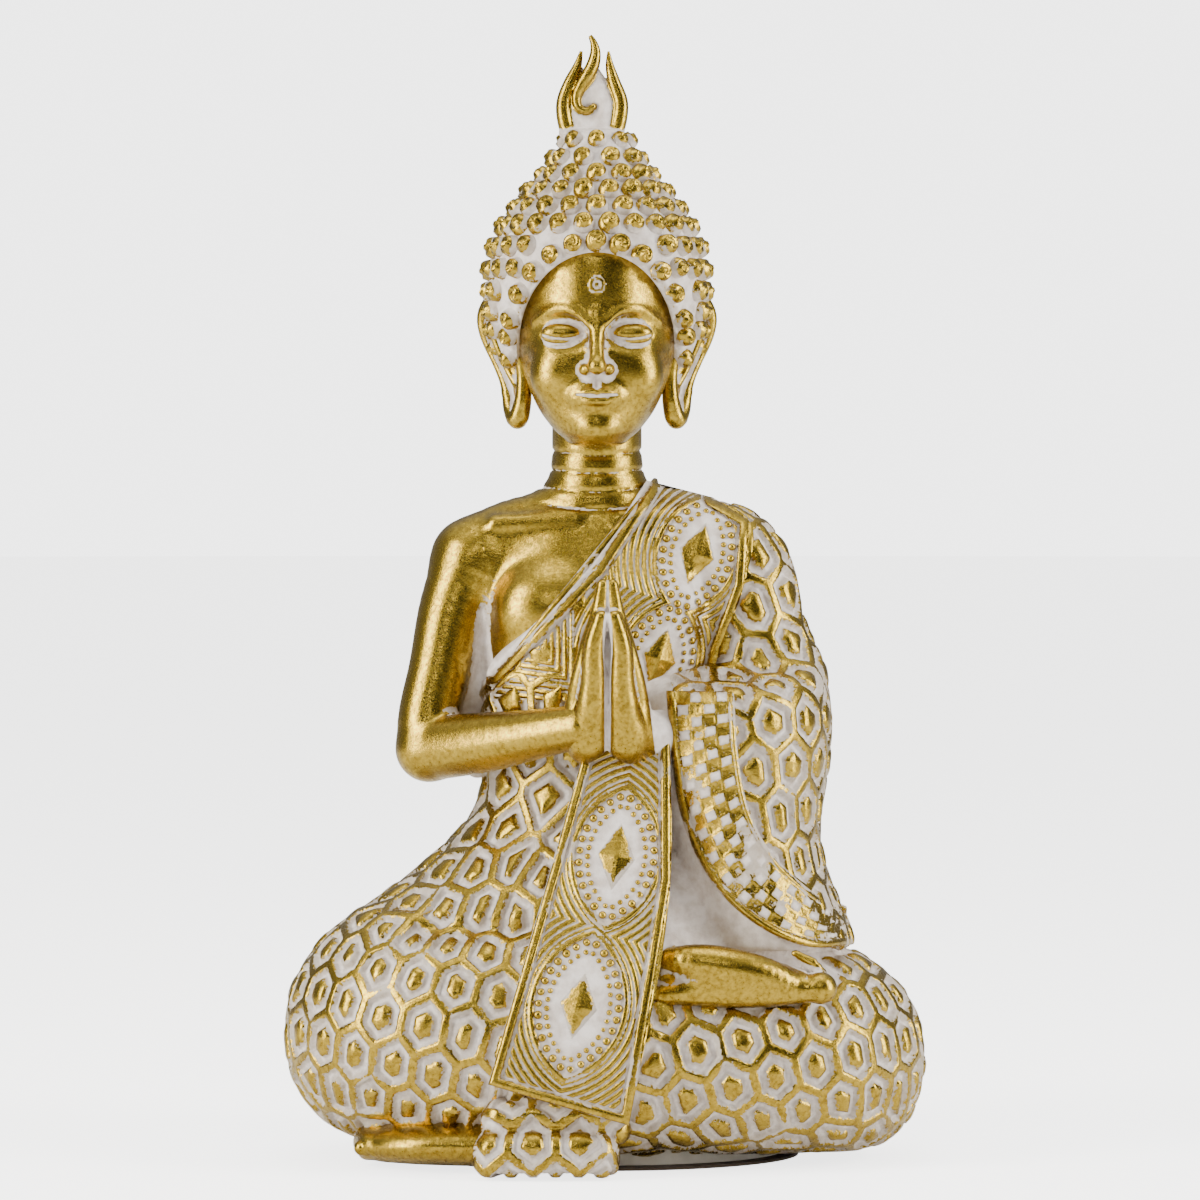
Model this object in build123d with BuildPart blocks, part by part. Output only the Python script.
"""A seated praying Buddha statue, 300 mm tall: a hollow resin figure, bonded together from its cast sections.

Millimetres, +Z up, -Y is the front. The origin is on the felt's underside, below the middle of the figure.
"Right" and "left" are the figure's own, so the bare right arm is on the -X side.
"""

import os
from math import cos, radians, sin

from build123d import *

# Driving sizes
HEIGHT = 300
MIDLINE = -1.9  # X of the head, neck and torso: the figure leans a little off the middle of its knees
FELT = 0.8  # thickness of the felt under the casting
PLATE = 5  # thickness of the plate that closes the hollow
CLOTH = 1.6  # relief of the robe over the body
BAND = 1.2  # relief of an ornament band over the cloth
GLUE_GAP = 0.1  # room for glue round a spigot, plug or plate
PALMS = 2.0  # X of the plane where the palms meet
FAR = 200  # longer than any section, for cutting prisms and half spaces

# Level ellipses: height, centre x, centre y, half width, half depth
CHEST = [
    (62, MIDLINE, 5, 30, 24),
    (85, MIDLINE, 4, 27.5, 22),
    (108, MIDLINE, 3, 27.5, 22),
    (131, MIDLINE, 3, 30.5, 23),
    (150, MIDLINE, 4, 33, 21),
    (165, MIDLINE, 5, 30, 15),
]
NECK = [
    (158, MIDLINE, 4, 27, 16),
    (168, MIDLINE, 4, 22, 14.5),
    (178, MIDLINE, 4, 15, 13),
    (188, MIDLINE, 4, 12.6, 12.5),
    (198, MIDLINE, 4, 12.3, 12.5),
]
HEAD = [
    (191, MIDLINE, -11, 7, 8),
    (197, MIDLINE, -7, 13.5, 14),
    (206, MIDLINE, -3, 18.5, 20),
    (218, MIDLINE, 0, 21.3, 24),
    (231, MIDLINE, 2, 22, 25.5),
    (244, MIDLINE, 3, 20.5, 24.5),
    (254, MIDLINE, 3, 16, 19),
    (261, MIDLINE, 3, 8, 10),
]
NOSE = [
    (207.6, MIDLINE, -24.5, 3.6, 4),
    (212, MIDLINE, -24.5, 3.2, 3.6),
    (218, MIDLINE, -23.5, 2, 2.8),
    (224, MIDLINE, -23, 1.4, 1.8),
]
HAIR = [
    (213, MIDLINE, 8, 26, 20),
    (222, MIDLINE, 4, 29.5, 28),
    (235, MIDLINE, 3, 30.5, 30.5),
    (245, MIDLINE, 3, 28.5, 29),
    (254, MIDLINE, 3, 23, 24),
    (262, MIDLINE, 3, 17, 17.5),
    (269, MIDLINE, 3, 11.8, 12),
    (273.5, MIDLINE, 3, 8, 8),
]
CROWN = HAIR[-1][0]
WAIST_ROBE = [
    (40, MIDLINE, -2, 63, 42),
    (55, MIDLINE, -2, 62, 42),
    (66, MIDLINE, 0, 58, 39),
    (76, MIDLINE, 1, 49, 34.5),
    (86, MIDLINE, 3, 38.5, 29.5),
    (98, MIDLINE, 4, 32, 26),
    (112, MIDLINE, 4, 30, 24.5),
]
SLEEVE = [
    (57, 42, -7, 25, 32),
    (68, 39.5, -8, 23, 31),
    (81, 36, -8, 22.5, 30),
    (100, 34, -8, 25.5, 29),
    (119, 34, -6, 27.5, 27),
    (134, 33, -3, 26, 24),
    (151, 29, 1, 24, 20),
    (167, 24, 4, 18.5, 16),
    (175, 20, 5, 12, 12),
]
CAVITY = [
    (FELT + PLATE, 0, -2, 48, 32),
    (40, 0, -2, 46, 31),
    (70, MIDLINE, 3, 25, 19),
    (100, MIDLINE, 4, 20, 15),
    (140, MIDLINE, 4, 24, 14),
    (162, MIDLINE, 5, 19, 9),
]
# Upright ellipses along each leg, from the knee to the middle: x, centre y, centre z, half depth, half height
RIGHT_LEG = [
    (-84, -9, 33, 5, 7),
    (-78, -10, 34, 18, 20.5),
    (-68, -10, 35, 29, 28.5),
    (-54, -9.5, 36, 37, 34),
    (-36, -9, 35, 43, 35),
    (-18, -8, 33, 46, 34.5),
    (0, -7, 31, 47, 33),
]
LEFT_LEG = [
    (84.3, -9, 28, 5, 7),
    (79, -10, 27, 18, 18.5),
    (69, -10, 28.5, 29, 25.5),
    (55, -9.5, 29, 37, 28.5),
    (36, -9, 29, 43, 30),
    (18, -8, 29.5, 46, 31),
    (0, -7, 31, 47, 33),
]
RIGHT_FOOT = [
    (14, -46, 50.5, 5, 5.5),
    (20, -47, 50.5, 10, 8),
    (32, -47, 50, 11, 8.5),
    (45, -46, 49, 10, 7),
    (53, -45, 48, 8, 5.5),
    (60, -44, 49, 5, 4.5),
]
LEFT_FOOT = [
    (-65, -26, 6, 5, 3),
    (-58, -28, 6, 12, 5),
    (-45, -31, 6, 16, 7),
    (-30, -32, 6, 16, 8),
]
# The two hands as one form, which the palms' plane divides
HANDS = [
    (106, PALMS, -36, 9.3, 8.5),
    (118, PALMS, -38.5, 10.2, 10.5),
    (130, PALMS, -40.5, 9.2, 10.5),
    (142, PALMS, -42, 6.8, 8.8),
    (149, PALMS, -42.8, 4.4, 6.5),
    (154, PALMS, -43.2, 1.8, 3.2),
]
# Ball joints of the bare arm and of the covered shoulder: centre and radius
SHOULDER = ((-35.5, 4, 160.5), 11.5)
COVERED_SHOULDER = ((31, 4, 158), 11.5)
ELBOW = ((-46.5, -5, 109), 9.2)
WRIST = ((-6, -36, 115.5), 7)
LEFT_FOREARM = ((27, -17, 113), 8)
LEFT_WRIST = ((9, -36, 113), 6.8)

# The front sash falls from the hands over the lap to the floor: its outer face from the side (y, z)
SASH_FALL = [(-33, 112), (-38, 94), (-48, 72), (-55, 55), (-58.5, 38), (-60, 22)]
SASH_THICKNESS = 3
# Bands seen from the front, corner by corner (x, z)
FRONT_SASH = [(-4, 112), (17, 112), (17.5, 88), (8, 22), (-30, 25), (-21, 62)]
CHEST_SASH = [(11, 181), (30, 178), (40, 168), (29, 124), (-26, 124), (-30, 130), (-4, 157)]
BORDER_INNER = [(16.5, 124), (18.5, 96), (25, 80), (42, 61), (70, 57.5)]
BORDER_OUTER = [(70, 66), (56, 70), (42, 82), (36, 98), (33.5, 124)]
# The robe's edge crosses the chest and the back between these two places (x, z)
HEM_TOP = (12.5, 180)
HEM_FOOT = (-33, 127)
# The robe's folded end on the floor, below the sash: centre (x, y, z) and size of its upper and lower fold
TAIL_FOLDS = [((-13, -48, 17), (36, 18, 14)), ((-15, -51, 7), (35, 22, 12.4))]
TAIL_ROUND = 5

# The flame finial on the crown: half of its outline (distance off its middle, height above its foot)
FLAME_MIDDLE = (-3.4, 3)
FLAME_OUTSIDE = [(7, 0), (8.9, 7), (7.6, 13), (4.4, 21.3)]
FLAME_NOTCH = (2.4, 17)
FLAME_TONGUE_SHOULDER = (2.8, 21)
FLAME_TIP = (-0.6, 27.5)
FLAME_THICKNESS = 5.5
SPIGOT_RADIUS = 2.5
SPIGOT_LENGTH = 6
SPIGOT_BITE = 2  # how far the spigot reaches up into the flame
FACE_WINDOW = (212, 20.8, 28.5)  # centre height, half width and half height of the opening in the hair
# An ear's outline from its side (distance back, height), and how it stands on the head
EAR_OUTLINE = [(1, 229), (8, 224), (6.5, 211), (3.2, 198), (-0.5, 193.5), (-4, 199), (-4.5, 214)]
EAR_THICKNESS = 4.5
EAR_TURN = 40  # degrees that an ear flares from the side of the head
EAR_PLACE = (25.5, 2)  # distance off the midline, and y
# The closing plate and what goes through it
PLATE_SIZE = (48, 32)
PLUG_PLACE = (0, 14)
PLUG_RADIUS = 8
PLUG_FLANGE = 11
PLUG_FLANGE_DEPTH = 1.5
FELT_SIZE = (52, 36)


def level_loft(sections, grow=0):
    """A smooth body through level ellipses, grown outwards by a layer's thickness where asked."""
    with BuildPart() as body:
        for height, centre_x, centre_y, half_width, half_depth in sections:
            with BuildSketch(Plane.XY.offset(height)):
                with Locations((centre_x, centre_y)):
                    Ellipse(half_width + grow, half_depth + grow)
        loft()
    return body.part


def crosswise_loft(sections):
    """A smooth body through upright ellipses that stand one after the other along X."""
    with BuildPart() as body:
        for across, centre_y, centre_z, half_depth, half_height in sections:
            with BuildSketch(Plane.YZ.offset(across)):
                with Locations((centre_y, centre_z)):
                    Ellipse(half_depth, half_height)
        loft()
    return body.part


def straight_prism(corners):
    """Everything in front of the figure's middle that an outline drawn on the front view covers."""
    with BuildPart() as prism:
        with BuildSketch(Plane.XZ):
            with BuildLine():
                Polyline(*corners, close=True)
            make_face()
        extrude(amount=FAR)
    return prism.part


def curved_prism(inner, outer):
    """The same, between two curved long edges."""
    with BuildPart() as prism:
        with BuildSketch(Plane.XZ):
            with BuildLine():
                Spline(*inner)
                Line(inner[-1], outer[0])
                Spline(*outer)
                Line(outer[-1], inner[0])
            make_face()
        extrude(amount=FAR)
    return prism.part


def robe_half_space():
    """The side of the robe's edge that the cloth covers, through the chest and the back."""
    (top_x, top_z), (foot_x, foot_z) = HEM_TOP, HEM_FOOT
    edge = Vector(foot_x - top_x, 0, foot_z - top_z).normalized()
    with BuildPart() as half:
        with BuildSketch(Plane(origin=(top_x, 0, top_z), x_dir=(0, 1, 0), z_dir=(-edge.Z, 0, edge.X))):
            Rectangle(2 * FAR, 2 * FAR)
        extrude(amount=FAR)
    return half.part


def limb(start, end, grow=0):
    """A tapering round limb with a ball at each end."""
    (start_at, start_radius), (end_at, end_radius) = start, end
    direction = Vector(*end_at) - Vector(*start_at)
    with BuildPart() as arm:
        with BuildSketch(Plane(origin=start_at, z_dir=direction)):
            Circle(start_radius + grow)
        with BuildSketch(Plane(origin=end_at, z_dir=direction)):
            Circle(end_radius + grow)
        loft()
        with Locations(start_at):
            Sphere(start_radius + grow)
        with Locations(end_at):
            Sphere(end_radius + grow)
    return arm.part


def torso_form(grow=0):
    """Chest, shoulders and neck as one solid body."""
    with BuildPart() as body:
        add(level_loft(CHEST, grow))
        add(level_loft(NECK, grow))
        add(limb(SHOULDER, COVERED_SHOULDER, grow))
    return body.part


def ear_plate(side):
    """An ear before it is fitted to the head, on the right with side -1 or on the left with side 1."""
    turn = radians(EAR_TURN)
    backwards = (side * sin(turn), cos(turn), 0)
    outwards = Vector(backwards).cross(Vector(0, 0, 1))
    place = (MIDLINE + side * EAR_PLACE[0], EAR_PLACE[1], 0)
    with BuildPart() as plate:
        with BuildSketch(Plane(origin=place, x_dir=backwards, z_dir=outwards).offset(-EAR_THICKNESS / 2)):
            with BuildLine():
                Spline(*EAR_OUTLINE, periodic=True)
            make_face()
        extrude(amount=EAR_THICKNESS)
    return plate.part


def finish(piece, name):
    """Keeps the piece's main solid, without the crumbs that a cut leaves, and writes it as parts/name.step."""
    main = piece.solids().sort_by(SortBy.VOLUME)[-1]
    main.label = name
    export_step(main, f"parts/{name}.step")
    print(f"{name}: {main.volume / 1000:.2f} cm3")
    return main


os.makedirs("parts", exist_ok=True)
UPWARDS = (Align.CENTER, Align.CENTER, Align.MIN)

cavity = level_loft(CAVITY)
torso_body = torso_form()
clothed_torso = torso_form(CLOTH)
head_form = level_loft(HEAD)
hair_form = level_loft(HAIR)
waist_form = level_loft(WAIST_ROBE)
sleeve_form = level_loft(SLEEVE)
hands_form = level_loft(HANDS)

with BuildPart() as bent_arm:
    add(limb(SHOULDER, ELBOW))
    add(limb(ELBOW, WRIST))
right_arm_form = bent_arm.part

with BuildPart() as ground:
    with Locations((0, 0, FELT)):
        Box(2 * FAR, 2 * FAR, FAR, align=(Align.CENTER, Align.CENTER, Align.MAX))

# The closing plate, the plug in its pouring hole, and the felt under it
with BuildPart() as base_plate:
    with BuildSketch(Plane.XY.offset(FELT)):
        with Locations((0, -2)):
            Ellipse(*PLATE_SIZE)
    extrude(amount=PLATE)
    with Locations((*PLUG_PLACE, FELT)):
        Cylinder(PLUG_RADIUS, PLATE, align=UPWARDS, mode=Mode.SUBTRACT)
        Cylinder(PLUG_FLANGE, PLUG_FLANGE_DEPTH, align=UPWARDS, mode=Mode.SUBTRACT)
finish(base_plate.part, "base_plate")

with BuildPart() as plate_mouth:
    with BuildSketch(Plane.XY.offset(FELT)):
        with Locations((0, -2)):
            Ellipse(PLATE_SIZE[0] + GLUE_GAP, PLATE_SIZE[1] + GLUE_GAP)
    extrude(amount=PLATE)

with BuildPart() as vent_plug:
    with Locations((*PLUG_PLACE, FELT)):
        Cylinder(PLUG_RADIUS - GLUE_GAP, PLATE + 2, align=UPWARDS)
        Cylinder(PLUG_FLANGE - GLUE_GAP, PLUG_FLANGE_DEPTH - GLUE_GAP, align=UPWARDS)
finish(vent_plug.part, "vent_plug")

with BuildPart() as felt_base:
    with BuildSketch():
        with Locations((0, -3)):
            Ellipse(*FELT_SIZE)
        with Locations(PLUG_PLACE):
            Circle(PLUG_FLANGE + 1, mode=Mode.SUBTRACT)
    extrude(amount=FELT)
finish(felt_base.part, "felt_base")

# The legs, each with its half of the lap, meeting in the middle
with BuildPart() as right_leg_robe:
    add(crosswise_loft(RIGHT_LEG))
    add(ground.part, mode=Mode.SUBTRACT)
    add(plate_mouth.part, mode=Mode.SUBTRACT)
    add(cavity, mode=Mode.SUBTRACT)
right_leg = finish(right_leg_robe.part, "right_leg_robe")

with BuildPart() as left_leg_robe:
    add(crosswise_loft(LEFT_LEG))
    add(ground.part, mode=Mode.SUBTRACT)
    add(plate_mouth.part, mode=Mode.SUBTRACT)
    add(cavity, mode=Mode.SUBTRACT)
left_leg = finish(left_leg_robe.part, "left_leg_robe")

# The body from the waist to the top of the neck, and the robe round it
with BuildPart() as torso:
    add(torso_body)
    add(cavity, mode=Mode.SUBTRACT)
    add(right_leg, mode=Mode.SUBTRACT)
    add(left_leg, mode=Mode.SUBTRACT)
finish(torso.part, "torso")

with BuildPart() as waist_robe:
    add(waist_form)
    add(torso_body, mode=Mode.SUBTRACT)
    add(cavity, mode=Mode.SUBTRACT)
    add(right_leg, mode=Mode.SUBTRACT)
    add(left_leg, mode=Mode.SUBTRACT)
finish(waist_robe.part, "waist_robe")

with BuildPart() as upper_robe:
    add(clothed_torso)
    add(robe_half_space(), mode=Mode.INTERSECT)
    add(torso_body, mode=Mode.SUBTRACT)
    add(waist_form, mode=Mode.SUBTRACT)
finish(upper_robe.part, "upper_robe")

# The bare right arm, from its bond at the shoulder to the wrist
with BuildPart() as right_arm:
    add(right_arm_form)
    add(torso_body, mode=Mode.SUBTRACT)
    add(clothed_torso, mode=Mode.SUBTRACT)
    add(waist_form, mode=Mode.SUBTRACT)
arm = finish(right_arm.part, "right_arm")

# The hands, pressed together, the left one with the wrist that comes out of the sleeve
with BuildPart() as right_hand:
    add(hands_form)
    split(bisect_by=Plane.YZ.offset(PALMS), keep=Keep.BOTTOM)
    add(right_arm_form, mode=Mode.SUBTRACT)
hand = finish(right_hand.part, "right_hand")

with BuildPart() as left_hand:
    add(hands_form)
    add(limb(LEFT_FOREARM, LEFT_WRIST))
    split(bisect_by=Plane.YZ.offset(PALMS), keep=Keep.TOP)
    for neighbour in (sleeve_form, right_arm_form, waist_form, clothed_torso):
        add(neighbour, mode=Mode.SUBTRACT)
other_hand = finish(left_hand.part, "left_hand")

# The sleeve that hangs over the left arm, and the checkered border on its front edge
with BuildPart() as left_sleeve:
    add(sleeve_form)
    for neighbour in (clothed_torso, waist_form, right_leg, left_leg, arm, hand):
        add(neighbour, mode=Mode.SUBTRACT)
sleeve = finish(left_sleeve.part, "left_sleeve")

with BuildPart() as sleeve_border:
    add(level_loft(SLEEVE, BAND))
    add(curved_prism(BORDER_INNER, BORDER_OUTER), mode=Mode.INTERSECT)
    for neighbour in (sleeve_form, clothed_torso, waist_form, right_leg, left_leg, other_hand):
        add(neighbour, mode=Mode.SUBTRACT)
border = finish(sleeve_border.part, "sleeve_border")

# The ornament sash: across the chest, then down from the hands to the floor
with BuildPart() as chest_sash:
    add(torso_form(CLOTH + BAND))
    add(straight_prism(CHEST_SASH), mode=Mode.INTERSECT)
    for neighbour in (clothed_torso, sleeve, arm, hand, other_hand, border):
        add(neighbour, mode=Mode.SUBTRACT)
finish(chest_sash.part, "chest_sash")

with BuildPart() as front_sash:
    with BuildSketch(Plane.YZ.offset(-FAR)):
        with BuildLine():
            Spline(*SASH_FALL)
            Line(SASH_FALL[-1], (SASH_FALL[-1][0] + SASH_THICKNESS, SASH_FALL[-1][1]))
            Spline(*[(y + SASH_THICKNESS, z) for y, z in reversed(SASH_FALL)])
            Line((SASH_FALL[0][0] + SASH_THICKNESS, SASH_FALL[0][1]), SASH_FALL[0])
        make_face()
    extrude(amount=2 * FAR)
    add(straight_prism(FRONT_SASH), mode=Mode.INTERSECT)
    for neighbour in (waist_form, right_leg, left_leg, hand, other_hand, arm, sleeve, border):
        add(neighbour, mode=Mode.SUBTRACT)
sash = finish(front_sash.part, "front_sash")

# The robe's folded end on the floor
with BuildPart() as robe_tail:
    for (across, along, height), (width, depth, thickness) in TAIL_FOLDS:
        with BuildSketch(Plane.YZ.offset(across - width / 2)):
            with Locations((along, height)):
                RectangleRounded(depth, thickness, TAIL_ROUND)
        extrude(amount=width)
    for neighbour in (right_leg, left_leg, sash, ground.part):
        add(neighbour, mode=Mode.SUBTRACT)
tail = finish(robe_tail.part, "robe_tail")

# The bare feet: the right one, sole up on the left thigh, and the left one, under the right knee
with BuildPart() as right_foot:
    add(crosswise_loft(RIGHT_FOOT))
    for neighbour in (right_leg, left_leg, waist_form, sleeve_form, sash, border):
        add(neighbour, mode=Mode.SUBTRACT)
finish(right_foot.part, "right_foot")

with BuildPart() as left_foot:
    add(crosswise_loft(LEFT_FOOT))
    for neighbour in (right_leg, tail, sash, ground.part, plate_mouth.part):
        add(neighbour, mode=Mode.SUBTRACT)
finish(left_foot.part, "left_foot")

# The head on its neck, and the cap of hair with the face's window
with BuildPart() as head:
    add(head_form)
    add(level_loft(NOSE))
    add(torso_body, mode=Mode.SUBTRACT)
finish(head.part, "head")

window_height, window_half_width, window_half_height = FACE_WINDOW
with BuildPart() as face_window:
    with BuildSketch(Plane.XZ):
        with Locations((MIDLINE, window_height)):
            Ellipse(window_half_width, window_half_height)
    extrude(amount=FAR)

with BuildPart() as hair_cap:
    add(hair_form)
    for neighbour in (head_form, torso_body, face_window.part):
        add(neighbour, mode=Mode.SUBTRACT)
    with Locations((*FLAME_MIDDLE, CROWN)):
        Cylinder(SPIGOT_RADIUS + GLUE_GAP, 2 * (SPIGOT_LENGTH + GLUE_GAP), mode=Mode.SUBTRACT)
finish(hair_cap.part, "hair_cap")

# The long-lobed ears
with BuildPart() as right_ear:
    add(ear_plate(-1))
    add(head_form, mode=Mode.SUBTRACT)
    add(hair_form, mode=Mode.SUBTRACT)
finish(right_ear.part, "right_ear")

with BuildPart() as left_ear:
    add(ear_plate(1))
    add(head_form, mode=Mode.SUBTRACT)
    add(hair_form, mode=Mode.SUBTRACT)
finish(left_ear.part, "left_ear")

# The flame finial, held by a spigot glued into the crown
flame_foot = HEIGHT - FLAME_TIP[1]
flame_front = Plane(origin=(*FLAME_MIDDLE, flame_foot), x_dir=(1, 0, 0), z_dir=(0, -1, 0))
with BuildPart() as flame_finial:
    with BuildSketch(flame_front.offset(-FLAME_THICKNESS / 2)):
        with BuildLine():
            for side in (1, -1):
                outside = [(side * across, up) for across, up in FLAME_OUTSIDE]
                notch = (side * FLAME_NOTCH[0], FLAME_NOTCH[1])
                shoulder = (side * FLAME_TONGUE_SHOULDER[0], FLAME_TONGUE_SHOULDER[1])
                Spline(*outside)
                Line(outside[-1], notch)
                Spline(notch, shoulder, FLAME_TIP)
            Line((-FLAME_OUTSIDE[0][0], 0), (FLAME_OUTSIDE[0][0], 0))
        make_face()
    extrude(amount=FLAME_THICKNESS)
    add(hair_form, mode=Mode.SUBTRACT)
    with Locations((*FLAME_MIDDLE, CROWN - SPIGOT_LENGTH)):
        Cylinder(SPIGOT_RADIUS, SPIGOT_LENGTH + SPIGOT_BITE, align=UPWARDS)
finish(flame_finial.part, "flame_finial")
